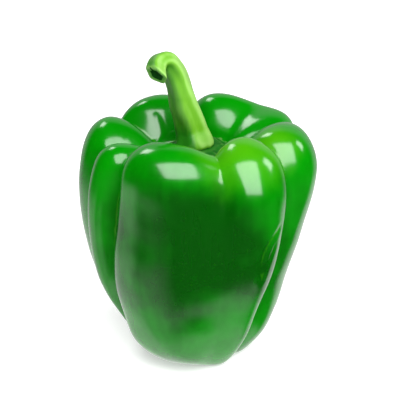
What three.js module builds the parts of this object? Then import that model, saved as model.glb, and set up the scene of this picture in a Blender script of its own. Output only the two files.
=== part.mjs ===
// A blocky green bell pepper, standing on the tips of its lobes with its stem up.
// It is three grown pieces: the fruit with its hollow between the shoulders, the calyx
// that caps the hollow's floor, and the hooked stem with the cut end where it was picked.
// Millimetres, +Z up, front towards -Y. The origin is the bottom centre of its box.
import * as THREE from "three";
import { ParametricGeometry } from "three/addons/geometries/ParametricGeometry.js";

// ---- driving dimensions ----

const SEAT_HEIGHT = 82; // floor of the shoulder hollow, which the calyx covers
const SEAT_RADIUS = 15; // where the walls of the hollow rise from that floor
const NAVEL_HEIGHT = 8; // middle of the blossom end, above the surface it stands on
const FLAT_SPOT_DEPTH = 0.6; // how much of each lowest tip is pressed flat
const JOINT_GAP = 0.3; // between pieces that touch

// The shoulders as they stand round the stem, anticlockwise from the right.
// at: degrees from +X. crest: radius and height of the shoulder's top.
// girth: radius and height of its widest place. flank: the radius at three places
// below the girth, as shares of the girth's. tip: radius and height of its foot.
// face: 0 is a round lobe, 1 one with a broad, flat face. ridge: how far across the
// lobe it stands out most.
const LOBES = [
  {
    at: -8, crest: [31, 95], girth: [45.3, 77], flank: [0.885, 0.765, 0.64],
    tip: [14, 0], face: 0.3, ridge: 0.5,
  },
  {
    at: 32, crest: [35.5, 91.8], girth: [43, 72], flank: [0.94, 0.8, 0.65],
    tip: [16, 2], face: 0, ridge: 0.5,
  },
  {
    at: 70, crest: [27, 96], girth: [41, 72], flank: [0.96, 0.83, 0.66],
    tip: [16, 0], face: 0.4, ridge: 0.5,
  },
  {
    at: 124, crest: [27.5, 97], girth: [41, 70], flank: [0.96, 0.83, 0.66],
    tip: [16, 0], face: 0.4, ridge: 0.5,
  },
  {
    at: 173, crest: [35, 94.5], girth: [46.2, 66], flank: [0.97, 0.875, 0.66],
    tip: [14, -1.2], face: 0, ridge: 0.5,
  },
  {
    at: 203, crest: [34, 90.5], girth: [44, 62], flank: [0.95, 0.83, 0.6],
    tip: [13, 6], face: 0, ridge: 0.5,
  },
  {
    at: 239, crest: [29.5, 96], girth: [43, 66], flank: [0.99, 0.905, 0.775],
    tip: [20.5, 3.2], face: 0.8, ridge: 0.34,
  },
  {
    at: 314, crest: [27, 97], girth: [46, 68], flank: [0.96, 0.83, 0.66],
    tip: [16, 0], face: 0.3, ridge: 0.5,
  },
];

// The furrow before each lobe, in the same order, as its depth at the wall of the
// hollow, the crest, the girth, the waist and the tip. drift: how many degrees it
// wanders on its way down. soft: 0 is a sharp fold, 1 a broad dip.
const FURROWS = [
  { at: -30, drift: -23, soft: 0, depth: [4, 9, 8, 7, 5] },
  { at: 17, drift: 6, soft: 0.15, depth: [4, 2.4, 4, 4, 5] },
  { at: 48, drift: 0, soft: 0.8, depth: [0.6, 0.8, 1, 1.2, 1.5] },
  { at: 96, drift: 2, soft: 0.1, depth: [4, 7, 3, 1.5, 1.5] },
  { at: 152, drift: -3, soft: 0, depth: [4, 8, 6, 5, 5] },
  { at: 192, drift: -3, soft: 0.1, depth: [3, 6.5, 5, 3, 2] },
  { at: 219, drift: -20, soft: 0, depth: [4, 8, 7, 5.5, 4] },
  { at: 283, drift: -3, soft: 0.3, depth: [5, 5.5, 4.2, 1.6, 0.5] },
];
const COLUMNS_PER_LOBE = 11;
const FRUIT_ROWS = 42;

// The calyx is a low cone with a ragged edge, under the foot of the stem.
const CALYX_RADIUS = 12.6;
const CALYX_TEETH = 7;
const TOOTH_LENGTH = 1.8;
const CALYX_RISE = 3.2; // from the top of its edge to the foot of the stem
const CALYX_EDGE = 1; // thickness at its edge
const CALYX_BOTTOM = SEAT_HEIGHT + JOINT_GAP;
const CALYX_TOP = CALYX_BOTTOM + CALYX_EDGE + CALYX_RISE;

// The stem's middle line, from the calyx to the cut end, and its radius at each place.
const STEM_PATH = [
  { at: [-1.5, -0.5, CALYX_TOP + JOINT_GAP], radius: 7.9 },
  { at: [-1.5, -0.5, 88], radius: 7.1 },
  { at: [-2.2, 0, 91], radius: 6.2 },
  { at: [-3.3, 0, 95.5], radius: 5.7 },
  { at: [-5.4, 0, 102], radius: 5.2 },
  { at: [-7.2, 0, 109.5], radius: 4.6 },
  { at: [-9.1, -0.3, 115], radius: 4.3 },
  { at: [-11.2, -1, 118.4], radius: 4 },
  { at: [-13.2, -2.5, 119.6], radius: 3.8 },
  { at: [-14.8, -4.5, 118.8], radius: 3.6 },
  { at: [-15.1, -6.6, 117.4], radius: 3.6 },
  { at: [-15.1, -9, 116], radius: 3.9 },
];
const STEM_RIBS = 5;
const RIB_HEIGHT = 0.07; // as a share of the stem's radius
const RIB_TWIST = 40; // degrees from end to end
const CUT_RECESS = 1.2; // how far the cut end has shrunk in from its rim
const CUT_SLANT = 0.7; // slope of the cut, which leaves the right side longer
const STEM_COLUMNS = 30;
const STEM_ROWS = 32;

const degrees = THREE.MathUtils.degToRad;
const mix = THREE.MathUtils.lerp;
const smoothstep = THREE.MathUtils.smoothstep;

// ---- the fruit ----

// How much each lobe counts in a direction: nearly all in its own, fading to its neighbours.
function lobeWeights(angle) {
  const spread = 22;
  const raw = LOBES.map(({ at }) => {
    const apart = ((((angle - at) % 360) + 540) % 360) - 180;
    return Math.exp(-((apart / spread) ** 2));
  });
  const sum = raw.reduce((a, b) => a + b, 0);
  return raw.map((w) => w / sum);
}

// The ridge line of the fruit in a direction, from the middle of the hollow, over the
// shoulder and down to the navel. x is the radius, y the height and z the depth that a
// furrow has there.
function ridgeLine(angle, depth) {
  const weights = lobeWeights(angle);
  const blend = (value) => LOBES.reduce((sum, lobe, i) => sum + weights[i] * value(lobe), 0);
  const crestR = blend((lobe) => lobe.crest[0]);
  const crestZ = blend((lobe) => lobe.crest[1]);
  const girthR = blend((lobe) => lobe.girth[0]);
  const girthZ = blend((lobe) => lobe.girth[1]);
  const flank = [0, 1, 2].map((place) => girthR * blend((lobe) => lobe.flank[place]));
  const tipR = blend((lobe) => lobe.tip[0]);
  const tipZ = blend((lobe) => lobe.tip[1]);
  const [wallD, crestD, girthD, waistD, tipD] = depth;

  const at = (r, z, d) => new THREE.Vector3(r, z, d);
  const inside = (turn, d) => at(
    crestR - (crestR - SEAT_RADIUS) * Math.sin(turn),
    SEAT_HEIGHT + (crestZ - SEAT_HEIGHT) * Math.cos(turn) ** 1.6,
    d,
  );
  const outside = (turn, d) => at(
    crestR + (girthR - crestR) * Math.sin(turn) ** 0.9,
    girthZ + (crestZ - girthZ) * Math.cos(turn) ** 0.9,
    d,
  );
  return new THREE.CatmullRomCurve3([
    at(0, SEAT_HEIGHT, 0),
    at(SEAT_RADIUS, SEAT_HEIGHT, 0.5),
    inside(degrees(62), wallD),
    inside(degrees(30), mix(wallD, crestD, 0.6)),
    at(crestR, crestZ, crestD),
    outside(degrees(30), mix(crestD, girthD, 0.35)),
    outside(degrees(60), mix(crestD, girthD, 0.75)),
    at(girthR, girthZ, girthD),
    at(flank[0], girthZ * 0.72, mix(girthD, waistD, 0.6)),
    at(flank[1], girthZ * 0.46, waistD),
    at(flank[2], girthZ * 0.2, mix(waistD, tipD, 0.6)),
    at(tipR + 6, tipZ + 2.6, tipD),
    at(tipR, tipZ, tipD),
    at(tipR * 0.5, mix(tipZ, NAVEL_HEIGHT, 0.5), tipD * 0.4),
    at(0, NAVEL_HEIGHT, 0),
  ], false, "centripetal");
}

// How far the skin stands out of its furrows, across a lobe: 0 in a furrow, 1 on the ridge.
function arch(across, roundness, { face, ridge }) {
  const fromFurrow = Math.min(across / ridge, (1 - across) / (1 - ridge));
  const eased = Math.hypot(fromFurrow, roundness) - roundness;
  const full = Math.hypot(1, roundness) - roundness;
  return (1 - (1 - eased / full) ** mix(2, 3.2, face)) ** mix(0.75, 0.7, face);
}

// The fruit's skin: u goes round it, and v from the navel up to the middle of the hollow.
function fruitSkin(u, v, target) {
  const place = (u % 1) * LOBES.length;
  const i = Math.floor(place);
  const even = place - i;
  const across = mix(even, 0.5 - 0.5 * Math.cos(Math.PI * even), 0.5);
  const before = FURROWS[i];
  const after = FURROWS[(i + 1) % FURROWS.length];
  const turn = after.at < before.at ? 360 : 0;
  const angle = mix(before.at, after.at + turn, across);
  const share = smoothstep(across, 0, 1);
  const depth = before.depth.map((d, k) => mix(d, after.depth[k], share));

  const down = 1 - v;
  const ridge = ridgeLine(angle, depth);
  const point = ridge.getPoint(down);
  const along = ridge.getTangent(down);
  const outwards = new THREE.Vector2(-along.y, along.x).normalize();
  const folded = mix(0.03, 0.14, smoothstep(down, 0.3, 0.6));
  const roundness = mix(folded, 0.5, mix(before.soft, after.soft, share));
  const sunk = point.z * (1 - arch(across, roundness, LOBES[i]));
  const r = Math.max(0, point.x - outwards.x * sunk);
  const z = point.y - outwards.y * sunk;

  const wander = mix(before.drift, after.drift, across) * smoothstep(down, 0.35, 0.88);
  const heading = degrees(angle + wander);
  target.set(r * Math.cos(heading), r * Math.sin(heading), Math.max(z, FLAT_SPOT_DEPTH));
}

function buildFruit() {
  return new ParametricGeometry(fruitSkin, LOBES.length * COLUMNS_PER_LOBE, FRUIT_ROWS);
}

// ---- the calyx ----

// The calyx's edge: short teeth, no two alike, left where the flower's leaves withered.
function calyxReach(turn) {
  const tooth = 1 - Math.abs(Math.sin((CALYX_TEETH * turn) / 2)) ** 0.7;
  const uneven = 0.5 + 0.5 * Math.sin(3 * turn + 1);
  return CALYX_RADIUS + TOOTH_LENGTH * tooth * mix(0.5, 1, uneven) + 0.5 * Math.sin(2 * turn);
}

// v goes from the middle of the underside, round the edge, to the middle of the top.
function calyxSurface(u, v, target) {
  const turn = (u % 1) * 2 * Math.PI;
  const reach = calyxReach(turn);
  const profile = [
    [0, CALYX_BOTTOM],
    [0.55, CALYX_BOTTOM],
    [0.93, CALYX_BOTTOM + 0.3],
    [1, CALYX_BOTTOM + 0.3 + CALYX_EDGE / 2],
    [0.93, CALYX_BOTTOM + 0.3 + CALYX_EDGE],
    [0.8, CALYX_TOP - CALYX_RISE * 0.6],
    [0.65, CALYX_TOP - CALYX_RISE * 0.1],
    [0.55, CALYX_TOP],
    [0, CALYX_TOP],
  ];
  const [share, z] = profile[Math.round(v * (profile.length - 1))];
  target.set(share * reach * Math.cos(turn), share * reach * Math.sin(turn), z);
}

function buildCalyx() {
  return new ParametricGeometry(calyxSurface, CALYX_TEETH * 8, 8);
}

// ---- the stem ----

function buildStem() {
  const path = new THREE.CatmullRomCurve3(
    STEM_PATH.map(({ at }) => new THREE.Vector3(...at)),
    false,
    "centripetal",
  );
  const frames = path.computeFrenetFrames(STEM_ROWS, false);
  const radii = new THREE.CatmullRomCurve3(
    STEM_PATH.map(({ radius }, i) => new THREE.Vector3(i, radius, 0)),
    false,
    "centripetal",
  );

  // Two more rows close each end: the flat foot, and the cut face sunk in its rim.
  const rows = STEM_ROWS + 4;
  const surface = (u, v, target) => {
    const row = Math.round(v * rows) - 2;
    const step = THREE.MathUtils.clamp(row, 0, STEM_ROWS);
    const closing = Math.abs(row - step) / 2;
    const t = step / STEM_ROWS;
    const turn = (u % 1) * 2 * Math.PI;
    const rib = Math.cos(STEM_RIBS * (turn + degrees(RIB_TWIST) * t));
    const radius = radii.getPoint(path.getUtoTmapping(t)).y * (1 + RIB_HEIGHT * rib) * (1 - closing);
    const slant = CUT_SLANT * smoothstep(step, STEM_ROWS - 5, STEM_ROWS);
    const recess = row > STEM_ROWS ? CUT_RECESS * closing : 0;
    target.set(0, 0, 0);
    target.addScaledVector(frames.normals[step], radius * Math.cos(turn));
    target.addScaledVector(frames.binormals[step], radius * Math.sin(turn));
    target.addScaledVector(frames.tangents[step], slant * target.x - recess);
    target.add(path.getPointAt(t));
  };
  return new ParametricGeometry(surface, STEM_COLUMNS, rows);
}

// ---- the whole pepper ----

const SKIN = new THREE.MeshStandardMaterial({ color: 0x0a7a08, roughness: 0.2, metalness: 0 });
const CALYX = new THREE.MeshStandardMaterial({ color: 0x2c7a14, roughness: 0.6, metalness: 0 });
const STEM = new THREE.MeshStandardMaterial({ color: 0x6fb52a, roughness: 0.5, metalness: 0 });

const pepper = new THREE.Group();
const pieces = [
  ["fruit", buildFruit(), SKIN],
  ["calyx", buildCalyx(), CALYX],
  ["stem", buildStem(), STEM],
];
for (const [name, geometry, material] of pieces) {
  const mesh = new THREE.Mesh(geometry, material);
  mesh.name = name;
  pepper.add(mesh);
}

// Put the origin at the bottom centre of the whole.
const box = new THREE.Box3().setFromObject(pepper);
const centre = box.getCenter(new THREE.Vector3());
pepper.position.set(-centre.x, -centre.y, -box.min.z);

export default pepper;
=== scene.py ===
# %% [markdown]
# # A green bell pepper
#
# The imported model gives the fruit, the calyx and the stem at their real size. This
# notebook keeps their shapes and makes the fine surface: crisp furrows, a waxy skin
# that is nowhere quite even, a ragged calyx and a ribbed stem with a cut end.

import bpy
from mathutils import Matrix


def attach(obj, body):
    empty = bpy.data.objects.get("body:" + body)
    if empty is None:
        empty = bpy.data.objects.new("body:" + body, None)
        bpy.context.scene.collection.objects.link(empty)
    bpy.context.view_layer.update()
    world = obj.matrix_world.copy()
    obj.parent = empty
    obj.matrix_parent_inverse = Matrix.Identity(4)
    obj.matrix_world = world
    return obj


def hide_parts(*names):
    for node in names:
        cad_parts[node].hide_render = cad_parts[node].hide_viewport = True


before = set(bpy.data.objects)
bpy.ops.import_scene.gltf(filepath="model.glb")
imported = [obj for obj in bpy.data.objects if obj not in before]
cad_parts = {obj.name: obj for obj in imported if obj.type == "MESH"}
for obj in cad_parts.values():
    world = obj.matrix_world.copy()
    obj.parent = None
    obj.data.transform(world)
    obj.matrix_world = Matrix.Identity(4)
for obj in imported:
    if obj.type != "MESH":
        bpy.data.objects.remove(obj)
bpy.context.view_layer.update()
print("nodes:", sorted(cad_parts))

# %% Imports and units
import math

import bmesh
import bpy
import numpy as np
from mathutils import Vector, noise

MM = 0.001

# %% [markdown]
# ## Copies that can be shaped
#
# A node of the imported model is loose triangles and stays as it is. Each piece starts
# as a copy of one: its doubles are merged and its triangles joined into quads, because
# Subdivision Surface rounds quads evenly and leaves ripples on long triangles.


# %% Select one piece only
def select_only(piece):
    bpy.ops.object.select_all(action="DESELECT")
    piece.select_set(True)
    bpy.context.view_layer.objects.active = piece


# %% Copy a node as clean quads
def quads_from(node, name):
    source = bpy.data.objects[node]
    piece = bpy.data.objects.new(name, source.data.copy())
    piece.data.name = name
    bpy.context.scene.collection.objects.link(piece)
    select_only(piece)
    bpy.ops.object.mode_set(mode="EDIT")
    bpy.ops.mesh.select_all(action="SELECT")
    bpy.ops.mesh.remove_doubles(threshold=0.02 * MM)
    bpy.ops.mesh.tris_convert_to_quads(face_threshold=math.radians(60), shape_threshold=math.radians(60))
    bpy.ops.object.mode_set(mode="OBJECT")
    print(name, "starts with", len(piece.data.polygons), "faces")
    return piece


# %% Apply a modifier
def apply_modifier(piece, kind, **settings):
    select_only(piece)
    modifier = piece.modifiers.new(kind.title(), kind)
    for key, value in settings.items():
        setattr(modifier, key, value)
    bpy.ops.object.modifier_apply(modifier=modifier.name)


# %% Round a piece
def round_off(piece, levels):
    apply_modifier(piece, "SUBSURF", levels=levels, render_levels=levels)
    print(piece.name, "rounded to", len(piece.data.polygons), "faces")


# %% [markdown]
# ## The fruit
#
# The furrows between the shoulders are folds, sharp at the top and softer on the sides.
# Plain subdivision would open them, so the edges that bend inwards sharply are selected
# and creased first.


# %% Copy the fruit and crease its furrows
FURROW_BEND = math.radians(32)
FURROW_CREASE = 0.55

fruit = quads_from("fruit", "pepper_fruit")
select_only(fruit)
bpy.ops.object.mode_set(mode="EDIT")
bpy.ops.mesh.select_mode(type="EDGE")
bpy.ops.mesh.select_all(action="DESELECT")
bm = bmesh.from_edit_mesh(fruit.data)
for edge in bm.edges:
    if len(edge.link_faces) == 2:
        edge.select_set(edge.calc_face_angle_signed() < -FURROW_BEND)
folds = sum(edge.select for edge in bm.edges)
bmesh.update_edit_mesh(fruit.data)
bpy.ops.transform.edge_crease(value=FURROW_CREASE)
bpy.ops.object.mode_set(mode="OBJECT")
print("creased", folds, "furrow edges")
round_off(fruit, 2)

# %% [markdown]
# A grown surface is never as even as a calculated one. Two layers of soft noise move it
# by a few tenths of a millimetre: a broad one makes the lobes a little lumpy, and a finer
# one breaks the edges of the reflections. The lower half, where the skin shrank a little
# more, gets a third layer.


# %% Read and write a mesh as arrays
def points_of(piece):
    flat = np.empty(len(piece.data.vertices) * 3)
    piece.data.vertices.foreach_get("co", flat)
    return flat.reshape(-1, 3)


def normals_of(piece):
    flat = np.empty(len(piece.data.vertices) * 3)
    piece.data.vertices.foreach_get("normal", flat)
    return flat.reshape(-1, 3)


def set_points(piece, points):
    piece.data.vertices.foreach_set("co", points.ravel())
    piece.data.update()


def ramp(values, low, high):
    share = np.clip((values - low) / (high - low), 0, 1)
    return share * share * (3 - 2 * share)


# %% Make the skin uneven
def uneven(piece, size, height, seed, where=1.0):
    points = points_of(piece)
    offset = Vector((seed, -seed, 2 * seed))
    bumps = np.array([noise.noise(Vector(p) / size + offset) for p in points]) * where
    set_points(piece, points + normals_of(piece) * (bumps * height)[:, None])
    print(piece.name, "moved by up to", round(float(np.abs(bumps).max() * height / MM), 2), "mm")


uneven(fruit, 26 * MM, 0.7 * MM, 3)
uneven(fruit, 9 * MM, 0.13 * MM, 11)
uneven(fruit, 11 * MM, 0.35 * MM, 21, where=ramp(points_of(fruit)[:, 2], 50 * MM, 22 * MM))

# %% [markdown]
# The skin has folded a little where the broad front lobe presses on its neighbour to the
# right. The folds are short grooves, pushed in along lines that run down beside the
# furrow, as a sculptor would draw them with a crease brush. Each line is given by its
# compass direction, in degrees from the right, and its height, and is then laid on the
# skin by casting a ray at it from outside.


# %% Lay a line on the skin
OUTSIDE = 80 * MM


def on_skin(piece, compass, height):
    angle = math.radians(compass)
    outwards = Vector((math.cos(angle), math.sin(angle), 0))
    start = outwards * OUTSIDE + Vector((0, 0, height * MM))
    hit, place, _, _ = piece.ray_cast(start, -outwards)
    return np.array(place)


# %% Press a groove into the skin
def press(piece, line, width, depth):
    points = points_of(piece)
    normals = normals_of(piece)
    steps = [on_skin(piece, compass, height) for compass, height in line]
    nearest = np.full(len(points), np.inf)
    for a, b in zip(steps, steps[1:]):
        along = np.clip((points - a) @ (b - a) / ((b - a) @ (b - a)), 0, 1)
        nearest = np.minimum(nearest, np.linalg.norm(points - (a + along[:, None] * (b - a)), axis=1))
    groove = np.exp(-((nearest / width) ** 2)) - 0.45 * np.exp(-((nearest / width / 2.2) ** 2))
    set_points(piece, points - normals * (groove * depth)[:, None])
    print("pressed a groove from", np.round(steps[0] / MM), "to", np.round(steps[-1] / MM))


LONG_FOLD = [(311, 66), (306, 62.5), (303, 58.5), (301.5, 54), (302, 48)]
SHORT_FOLD = [(309, 60), (306.5, 55.5), (304.5, 51.5), (303, 45)]

press(fruit, LONG_FOLD, 1.3 * MM, 0.7 * MM)
press(fruit, SHORT_FOLD, 1.0 * MM, 0.6 * MM)

# %% [markdown]
# ## Calculated masks
#
# The skin is paler in the furrows. The stem gets a painted highlight on its ribs and painted
# shade in its grooves, and the calyx painted shade in its gaps. A vertex attribute records
# how hollow the surface is at each vertex: how far its neighbours stand out above it.


# %% Measure hollows and ridges
def mark_hollows(piece, full, spread):
    points = points_of(piece)
    normals = normals_of(piece)
    edges = np.empty(len(piece.data.edges) * 2, dtype=int)
    piece.data.edges.foreach_get("vertices", edges)
    a, b = edges.reshape(-1, 2).T
    count = np.bincount(np.concatenate([a, b]), minlength=len(points))

    def around(values):
        total = np.zeros_like(values)
        np.add.at(total, a, values[b])
        np.add.at(total, b, values[a])
        return total / count.reshape(-1, *[1] * (values.ndim - 1))

    hollow = np.einsum("ij,ij->i", around(points) - points, normals) / full
    for _ in range(spread):
        hollow = 0.5 * hollow + 0.5 * around(hollow)
    layer = piece.data.attributes.new("hollow", "FLOAT", "POINT")
    layer.data.foreach_set("value", np.clip(hollow, -1, 1))
    print(piece.name, "hollow from", round(hollow.min(), 2), "to", round(hollow.max(), 2))


mark_hollows(fruit, 0.05 * MM, 3)

# %% [markdown]
# The broad front lobe stands out most at its left shoulder, and falls away from there to
# the dip in the middle. Pushing the skin out round one point, or in where the amount is
# negative, does what a sculptor's draw brush does. These are gentle slopes, not furrows,
# so they come after the hollows are measured.


# %% Swell the skin round a point
def swell(piece, place, size, amount):
    points = points_of(piece)
    away = np.linalg.norm(points - np.array(place) * MM, axis=1)
    push = np.exp(-0.5 * (away / size) ** 2) * amount
    set_points(piece, points + normals_of(piece) * push[:, None])
    print("swelled", piece.name, "by", round(amount / MM, 1), "mm at", place)


LEFT_SHOULDER = (-20, -32, 88)
SHOULDER_SLOPE = (-8, -35, 86)
RIGHT_SHOULDER = (23, -38, 77)
FRONT_DIP = (9, -37, 79)

swell(fruit, LEFT_SHOULDER, 7 * MM, 2.4 * MM)
swell(fruit, SHOULDER_SLOPE, 8 * MM, 2.0 * MM)
swell(fruit, RIGHT_SHOULDER, 7 * MM, 2.0 * MM)
swell(fruit, FRONT_DIP, 5 * MM, -1.4 * MM)

# %% [markdown]
# The unevenness has pushed a few vertices of the feet below the surface that the pepper
# stands on. They are brought back up to it, which flattens only the small resting spots.

# %% Level the feet
points = points_of(fruit)
sunk = points[:, 2] < 0
points[sunk, 2] = 0
set_points(fruit, points)
print("levelled", int(sunk.sum()), "vertices")

# %% [markdown]
# ## The calyx
#
# The calyx is what is left of the flower's leaves: a low green cap with a ragged edge.
# It is let down onto the skin, its rim is torn by coarse noise, and the torn tips curl up.

# %% Round and tear the calyx
CALYX_DROP = 0.5 * MM
TORN_FROM = 7.5 * MM

calyx = quads_from("calyx", "pepper_calyx")
round_off(calyx, 2)
points = points_of(calyx)
centre = points.mean(axis=0)
reach = np.hypot(points[:, 0] - centre[0], points[:, 1] - centre[1])
rim = ramp(reach, TORN_FROM, 12 * MM)
tips = np.array([noise.noise(Vector(p) / (2.2 * MM)) for p in points])
points[:, 2] += rim * (0.5 * MM + 1.4 * MM * tips) - CALYX_DROP
set_points(calyx, points)
uneven(calyx, 2.4 * MM, 0.45 * MM, 5, where=0.1 + 0.9 * rim)
mark_hollows(calyx, 0.05 * MM, 1)

# %% [markdown]
# ## The stem
#
# The stem is a tough, ribbed stalk that swells where it meets the calyx and at the cut.
# The cut face is a fan of faces round one vertex. It gets a finish of its own, so it is
# picked out first, while that vertex is easy to find: it is the highest one in which
# more than twenty edges meet, and the cut is what lies level with it, within its radius.

# %% Pick out the cut face and inset it
CUT_RADIUS = 3.7 * MM

stem = quads_from("stem", "pepper_stem")
stem.data.materials.append(None)
select_only(stem)
bpy.ops.object.mode_set(mode="EDIT")
bpy.ops.mesh.select_mode(type="FACE")
bpy.ops.mesh.select_all(action="DESELECT")
bm = bmesh.from_edit_mesh(stem.data)
pole = max((v for v in bm.verts if len(v.link_edges) > 20), key=lambda v: v.co.z)
for face in bm.faces:
    near = all((v.co - pole.co).length < CUT_RADIUS for v in face.verts)
    face.select_set(near and face.normal.dot(pole.normal) > 0.8)
bmesh.update_edit_mesh(stem.data)
stem.active_material_index = 1
bpy.ops.object.material_slot_assign()
bpy.ops.mesh.inset(thickness=0.25 * MM)
bpy.ops.object.mode_set(mode="OBJECT")
print("the cut has", len([f for f in stem.data.polygons if f.material_index == 1]), "faces")

# %% [markdown]
# The foot is drawn down into the calyx, so that the stalk grows out of it with no gap.
# A second attribute records how far each vertex faces the light, so that the stalk can be painted
# lighter on that side.


# %% Mark how far each vertex faces one way
def mark_side(piece, way):
    facing = normals_of(piece) @ np.array(Vector(way).normalized())
    layer = piece.data.attributes.new("lit", "FLOAT", "POINT")
    layer.data.foreach_set("value", facing)
    print(piece.name, "sunny side covers", round(float((facing > 0.3).mean()), 2))


# %% Root the stem and round it
FOOT_DEPTH = 1.4 * MM

points = points_of(stem)
foot = ramp(points[:, 2], points[:, 2].min() + 2 * MM, points[:, 2].min())
points[:, 2] -= foot * FOOT_DEPTH
set_points(stem, points)
round_off(stem, 2)
uneven(stem, 7 * MM, 0.5 * MM, 7)
mark_hollows(stem, 0.03 * MM, 1)
# the way the light comes from; the stalk is painted lighter on the side that faces it
mark_side(stem, (0.8, -0.45, 0.4))

# %% [markdown]
# ## Finishes
#
# Shader maths reads best as sums. A small class wraps a socket, so that `1 - mask * 0.5`
# adds its own Math nodes, and one method adds every other kind of node.


# %% A socket to calculate with
class Value:
    def __init__(self, finish, socket):
        self.finish = finish
        self.socket = socket

    def maths(self, operation, first, second):
        return self.finish.node("ShaderNodeMath", {"operation": operation}, {0: first, 1: second})

    def __add__(self, other):
        return self.maths("ADD", self, other)

    __radd__ = __add__

    def __sub__(self, other):
        return self.maths("SUBTRACT", self, other)

    def __rsub__(self, other):
        return self.maths("SUBTRACT", other, self)

    def __mul__(self, other):
        return self.maths("MULTIPLY", self, other)

    __rmul__ = __mul__


# %% A finish made of nodes
class Finish:
    def __init__(self, name):
        self.material = bpy.data.materials.new(name)
        self.material.use_nodes = True
        self.tree = self.material.node_tree
        self.tree.nodes.clear()

    def node(self, kind, settings, sockets, output=0):
        node = self.tree.nodes.new(kind)
        for key, value in settings.items():
            setattr(node, key, value)
        for key, value in sockets.items():
            if isinstance(value, Value):
                self.tree.links.new(value.socket, node.inputs[key])
            else:
                node.inputs[key].default_value = value
        return Value(self, node.outputs[output])

    def place(self):
        return self.node("ShaderNodeTexCoord", {}, {}, "Object")

    def distance(self, point):
        settings = {"operation": "DISTANCE"}
        return self.node("ShaderNodeVectorMath", settings, {0: self.place(), 1: point}, "Value")

    def height(self):
        return self.node("ShaderNodeSeparateXYZ", {}, {0: self.place()}, "Z")

    def attribute(self, name):
        return self.node("ShaderNodeAttribute", {"attribute_name": name}, {}, "Fac")

    def stretched(self, scale):
        settings = {"operation": "MULTIPLY"}
        return self.node("ShaderNodeVectorMath", settings, {0: self.place(), 1: scale})

    def noise(self, vector, scale, detail=2.0):
        sockets = {"Vector": vector, "Scale": scale, "Detail": detail}
        return self.node("ShaderNodeTexNoise", {}, sockets, "Fac")

    def step(self, value, low, high):
        settings = {"interpolation_type": "SMOOTHSTEP"}
        return self.node("ShaderNodeMapRange", settings, {0: value, 1: low, 2: high})

    def mix(self, share, first, second):
        settings = {"data_type": "RGBA"}
        return self.node("ShaderNodeMix", settings, {0: share, 6: first, 7: second}, 2)

    def bump(self, height, distance, strength=1.0):
        sockets = {"Height": height, "Distance": distance, "Strength": strength}
        return self.node("ShaderNodeBump", {}, sockets)

    def surface(self, sockets):
        shader = self.node("ShaderNodeBsdfPrincipled", {}, sockets)
        output = self.tree.nodes.new("ShaderNodeOutputMaterial")
        self.tree.links.new(shader.socket, output.inputs["Surface"])
        return self.material


# %% [markdown]
# ### The skin
#
# Green pepper skin is deep green under a clear wax, so a dark base colour has a smooth
# coat over it, and the coat alone shines. Painted shade darkens the middle of the broad
# front lobe, and the skin is painted lighter towards the top. The tops of two shoulders
# turn a yellower, lighter green, partly the skin's own colour and partly painted light.
# Faint streaks run from top to bottom, and a few pale flecks sit in the skin.

# %% Skin finish
DEEP = (0.0001, 0.048, 0.0001, 1)
LEAF = (0.0002, 0.18, 0.0002, 1)
YELLOW_GREEN = (0.045, 0.27, 0.001, 1)
SCAR = (0.16, 0.12, 0.03, 1)
# centre of the painted shade that darkens the broad front lobe
SHADE_MIDDLE = (-1 * MM, -41 * MM, 59 * MM)
# centres of two lighter, yellower patches on the shoulder tops, partly the skin's own colour and partly
# painted light
FRONT_LIT_YELLOW = (15 * MM, -26 * MM, 96 * MM)
RIGHT_LIT_YELLOW = (28 * MM, -14 * MM, 93 * MM)

skin = Finish("skin")
broad = skin.noise(skin.place(), 34, 2)
mottle = skin.noise(skin.place(), 160, 4)
streaks = skin.noise(skin.stretched((1, 1, 0.08)), 260, 2)
dimples = skin.noise(skin.place(), 420, 3)
speckle = skin.noise(skin.place(), 1300, 2)
# painted light: the skin is made lighter towards the top, where the light falls
shoulder = skin.step(skin.height(), 58 * MM, 97 * MM)
# painted shade: the middle of the broad front lobe is darkened, softly edged by noise
shade = skin.step(skin.distance(SHADE_MIDDLE) + (broad - 0.5) * 0.03, 46 * MM, 4 * MM)
# lighter, yellower tops of two shoulders: partly the skin's own colour, partly painted light
front_lit_yellow = skin.step(skin.distance(FRONT_LIT_YELLOW) + (broad - 0.5) * 0.03, 30 * MM, 2 * MM)
right_lit_yellow = skin.step(skin.distance(RIGHT_LIT_YELLOW) + (broad - 0.5) * 0.02, 20 * MM, 2 * MM)
lively = broad * 0.4 + mottle * 0.2 + streaks * 0.2 + shoulder * 0.15
tone = skin.step(lively - shade * 0.5, 0.0, 0.6)
warmth = broad * 0.5 + shoulder * 0.1 + mottle * 0.2 + front_lit_yellow * 0.6 + right_lit_yellow * 0.4
# the yellower green follows random tone, the painted lighter top and the two patches
yellow_and_lit = skin.step(warmth, 0.5, 1.1)
flecks = skin.step(speckle, 0.64, 0.8)
furrow = skin.step(skin.attribute("hollow"), 0.15, 0.9)
scar = skin.step(skin.distance((0, 0, 9 * MM)), 4.5 * MM, 2.5 * MM)

green = skin.mix(tone, DEEP, LEAF)
lit_and_yellowed = skin.mix(yellow_and_lit * 0.9, green, YELLOW_GREEN)
flecked = skin.mix(flecks * 0.12, lit_and_yellowed, YELLOW_GREEN)
creased = skin.mix(furrow * 0.3, flecked, YELLOW_GREEN)
skin_material = skin.surface({
    "Base Color": skin.mix(scar, creased, SCAR),
    "Roughness": mottle * 0.15 + 0.25,
    "Specular IOR Level": 0.0,
    "Coat Weight": 0.8 + streaks * 0.2 - scar * 0.8,
    "Coat Roughness": 0.17,
    "Coat IOR": 1.58,
    "Normal": skin.bump(speckle * 0.2 + dimples * 0.8, 0.22 * MM, 0.5),
})
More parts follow.
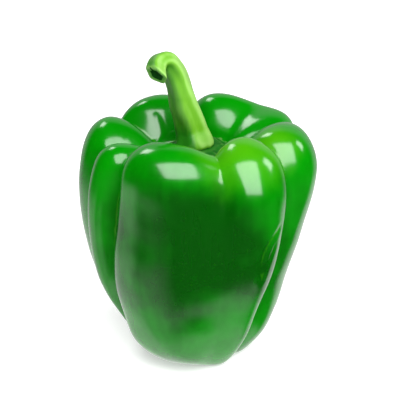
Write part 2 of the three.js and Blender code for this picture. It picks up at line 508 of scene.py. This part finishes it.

# %% [markdown]
# ### The stem
#
# The stalk is paler than the fruit: yellow-green, with fine fibres along it, and darker at
# its root. Light is painted into it: the side that faces the light is painted lighter, with a
# painted highlight band along it, and the other side keeps a painted shade. The ribs carry
# a painted highlight and the grooves between them painted shade. The cut end is dark green.

# %% Stem finish
stalk = Finish("stem")
fibres = stalk.noise(stalk.stretched((1, 1, 0.1)), 900, 3)
blotch = stalk.noise(stalk.stretched((1, 1, 0.4)), 110, 2)
# painted highlight on the ribs, and painted shade in the grooves between them
rib_highlight = stalk.step(stalk.attribute("hollow") * -1, -0.2, 0.9)
groove_shade = stalk.step(stalk.attribute("hollow"), 0.0, 1.0)
# painted light: the side facing the light is lighter, with a painted highlight band along it, and the
# other side keeps painted shade
lit = stalk.attribute("lit") + (blotch - 0.5) * 0.5
side = stalk.step(lit, 0.3, 0.9)
highlight_band = stalk.step(lit, 0.78, 0.96)
root = stalk.step(stalk.height(), 96 * MM, 87 * MM)
pale = side * 0.75 + fibres * 0.35 - root * 0.3
stalk_green = stalk.mix(pale, (0.008, 0.13, 0.001, 1), (0.11, 0.33, 0.006, 1))
ribbed = stalk.mix(rib_highlight * 0.3 + highlight_band * 0.45 - root * 0.25, stalk_green, (0.3, 0.52, 0.14, 1))
stem_material = stalk.surface({
    "Base Color": stalk.mix(groove_shade * 0.6, ribbed, (0.01, 0.19, 0.002, 1)),
    "Roughness": fibres * 0.2 + 0.38,
    "Specular IOR Level": 0.3,
    "Normal": stalk.bump(fibres, 0.18 * MM, 0.6),
})

# %% Cut finish
cut_end = Finish("stem_cut")
# the cut end is coloured a dark green
pith = cut_end.noise(cut_end.place(), 900, 3)
cut_material = cut_end.surface({
    "Base Color": cut_end.mix(pith, (0.0003, 0.015, 0.0005, 1), (0.001, 0.05, 0.001, 1)),
    "Roughness": pith * 0.2 + 0.6,
    "Specular IOR Level": 0.05,
    "Normal": cut_end.bump(pith, 0.3 * MM, 0.6),
})

# %% [markdown]
# ### The calyx
#
# The torn tips of the calyx are dry and pale; the gaps between them are darkened with painted shade.

# %% Calyx finish
leaf = Finish("calyx")
blotch = leaf.noise(leaf.place(), 500, 3)
tip = leaf.step(leaf.attribute("hollow") * -1, 0.1, 0.8)
# painted shade in the hollows between the tips
gap = leaf.step(leaf.attribute("hollow"), 0.0, 0.6)
leaf_green = leaf.mix(blotch, (0.001, 0.05, 0.001, 1), (0.004, 0.13, 0.002, 1))
tipped = leaf.mix(tip * 0.2, leaf_green, (0.2, 0.46, 0.09, 1))
calyx_material = leaf.surface({
    "Base Color": leaf.mix(gap * 0.3, tipped, (0.001, 0.05, 0.001, 1)),
    "Roughness": blotch * 0.2 + 0.45,
    "Specular IOR Level": 0.15,
    "Normal": leaf.bump(blotch, 0.15 * MM, 0.4),
})


# %% Put each piece in its node's place
def finish_piece(piece, node, materials):
    for index, material in enumerate(materials):
        piece.data.materials[index] = material
    select_only(piece)
    bpy.ops.object.shade_smooth()
    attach(piece, "root")
    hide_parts(node)
    print(piece.name, "has", len(piece.data.polygons), "faces")


finish_piece(fruit, "fruit", [skin_material])
finish_piece(calyx, "calyx", [calyx_material])
finish_piece(stem, "stem", [stem_material, cut_material])

# %% [markdown]
# ## Studio
#
# A white floor, one large softbox above the front, a small light on the right and
# another behind on the left, and a room that is white behind and below but dark on the
# camera's side, so that the front of the fruit keeps its deep colour.

# %% Floor
bpy.ops.object.select_all(action="DESELECT")
bpy.ops.mesh.primitive_plane_add(size=6, location=(0, 0, 0))
floor = bpy.context.object
floor.name = "floor"
floor.visible_glossy = False
paper = Finish("floor_paper")
floor.data.materials.append(paper.surface({
    "Base Color": (0.8, 0.8, 0.8, 1),
    "Roughness": 0.7,
    "Emission Color": (1, 1, 1, 1),
    "Emission Strength": 0.45,
}))


# %% [markdown]
# The room is the world. What the glossy skin mirrors is worked out from the direction
# it looks in: bright floor beneath, to the sides and in the left corner, and a white wall
# behind. Only reflections see this: the camera sees plain white, and all other light
# from the room is dim and even.

# %% Room
class Room(Finish):
    def __init__(self, name):
        self.world = bpy.data.worlds.new(name)
        self.world.use_nodes = True
        self.tree = self.world.node_tree
        self.tree.nodes.clear()
        self.way = self.node("ShaderNodeTexCoord", {}, {}, "Generated")

    def part(self, axis):
        return self.node("ShaderNodeSeparateXYZ", {}, {0: self.way}, axis)

    def larger(self, first, second):
        return self.node("ShaderNodeMath", {"operation": "MAXIMUM"}, {0: first, 1: second})

    def glow(self, strength):
        return self.node("ShaderNodeBackground", {}, {"Strength": strength})

    def choose(self, ray, otherwise, then):
        share = self.node("ShaderNodeLightPath", {}, {}, ray)
        return self.node("ShaderNodeMixShader", {}, {0: share, 1: otherwise, 2: then})

    def use(self, glow):
        output = self.tree.nodes.new("ShaderNodeOutputWorld")
        self.tree.links.new(glow.socket, output.inputs["Surface"])
        bpy.context.scene.world = self.world


room = Room("room")
east, north, up = (room.part(axis) for axis in "XYZ")
low = room.step(up, -0.2, -0.5)
sides = room.step(north - east * 0.45, -0.1, 0.3) * low * 1.5
corner = room.step(north - east * 1.2, -0.5, 0.1) * room.step(up, -0.4, -0.6) * 0.9
beneath = room.step(up, -0.77, -0.92) * 1.4
behind = room.step(north, 0.45, 0.75) * 0.75
mirrored = room.glow(room.larger(room.larger(sides, corner), room.larger(beneath, behind)))
unseen = room.choose("Is Glossy Ray", room.glow(0.35), mirrored)
room.use(room.choose("Is Camera Ray", unseen, room.glow(1.0)))

# %% Softboxes
MIDDLE = Vector((0, 0, 60 * MM))


def towards(azimuth, elevation, distance):
    a, e = math.radians(azimuth), math.radians(elevation)
    way = Vector((math.sin(a) * math.cos(e), -math.cos(a) * math.cos(e), math.sin(e)))
    return MIDDLE + way * distance


def softbox(name, azimuth, elevation, distance, spread, brightness):
    light = bpy.data.lights.new(name, "AREA")
    light.shape = "RECTANGLE"
    light.size, light.size_y = (2 * distance * math.tan(math.radians(angle / 2)) for angle in spread)
    light.energy = brightness * math.pi * light.size * light.size_y
    box = bpy.data.objects.new(name, light)
    bpy.context.scene.collection.objects.link(box)
    box.location = towards(azimuth, elevation, distance)
    box.rotation_euler = (MIDDLE - box.location).to_track_quat("-Z", "Y").to_euler()
    print(name, "uses", round(light.energy, 1), "W")


softbox("key", 16, 48, 0.9, (56, 46), 7.8)
softbox("right_light", 97, 36, 1.2, (15, 20), 9.0)
softbox("left_light", -143, 48, 1.2, (15, 18), 8.0)

# %% Camera
LOOK_AT = Vector((0.9, 1.4, 61.8)) * MM
DISTANCE = 0.62
camera = bpy.data.objects.new("camera", bpy.data.cameras.new("camera"))
bpy.context.scene.collection.objects.link(camera)
camera.data.sensor_width = 36
camera.data.lens = 146
tilt = math.radians(24)
back = Vector((0, -math.cos(tilt), math.sin(tilt)))
camera.location = LOOK_AT + back * DISTANCE
camera.rotation_euler = (-back).to_track_quat("-Z", "Y").to_euler()
bpy.context.scene.camera = camera
bpy.context.scene.view_settings.view_transform = "Standard"
